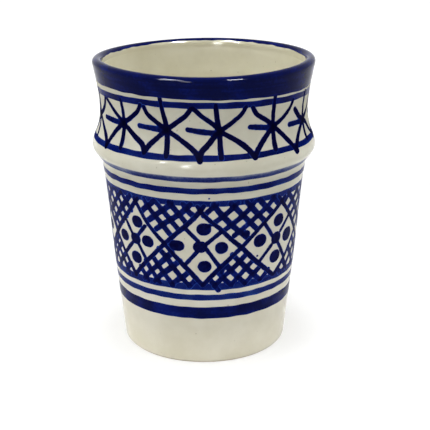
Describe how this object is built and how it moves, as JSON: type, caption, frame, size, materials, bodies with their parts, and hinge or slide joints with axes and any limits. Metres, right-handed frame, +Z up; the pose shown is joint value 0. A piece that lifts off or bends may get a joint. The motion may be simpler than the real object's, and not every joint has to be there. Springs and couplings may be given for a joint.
{
  "type": "handleless mug",
  "caption": "Handleless glazed earthenware mug with a flared lip, a raised ridge and a tapering wall, painted in blue bands, stars, diamonds and hatching; holds a drink.",
  "frame": {"origin": "middle of the foot, on the plane that the mug stands on", "axes": "+Z up along the mug's axis, -Y towards the front of the picture, +X to its right"},
  "size_m": [0.0768, 0.0768, 0.102],
  "materials": {
    "clay": "matte",
    "white_glaze": "gloss",
    "cobalt_blue": "gloss",
    "cobalt_wash": "gloss"
  },
  "bodies": {
    "root": {"clay_body": "clay", "inside_glaze": "white_glaze", "outside_glaze": "white_glaze", "rim_band": "cobalt_blue", "frieze_top_line": "cobalt_blue", "frieze_bottom_line": "cobalt_blue", "frieze_stars": "cobalt_blue", "neck_line_upper": "cobalt_blue", "neck_line_lower": "cobalt_blue", "lattice_top_line": "cobalt_wash", "lattice_bottom_line": "cobalt_wash", "diamond_frames": "cobalt_blue", "diamond_dots": "cobalt_blue", "lattice_hatching": "cobalt_blue", "base_line": "cobalt_blue", "base_band": "cobalt_blue"}
  },
  "joints": []
}
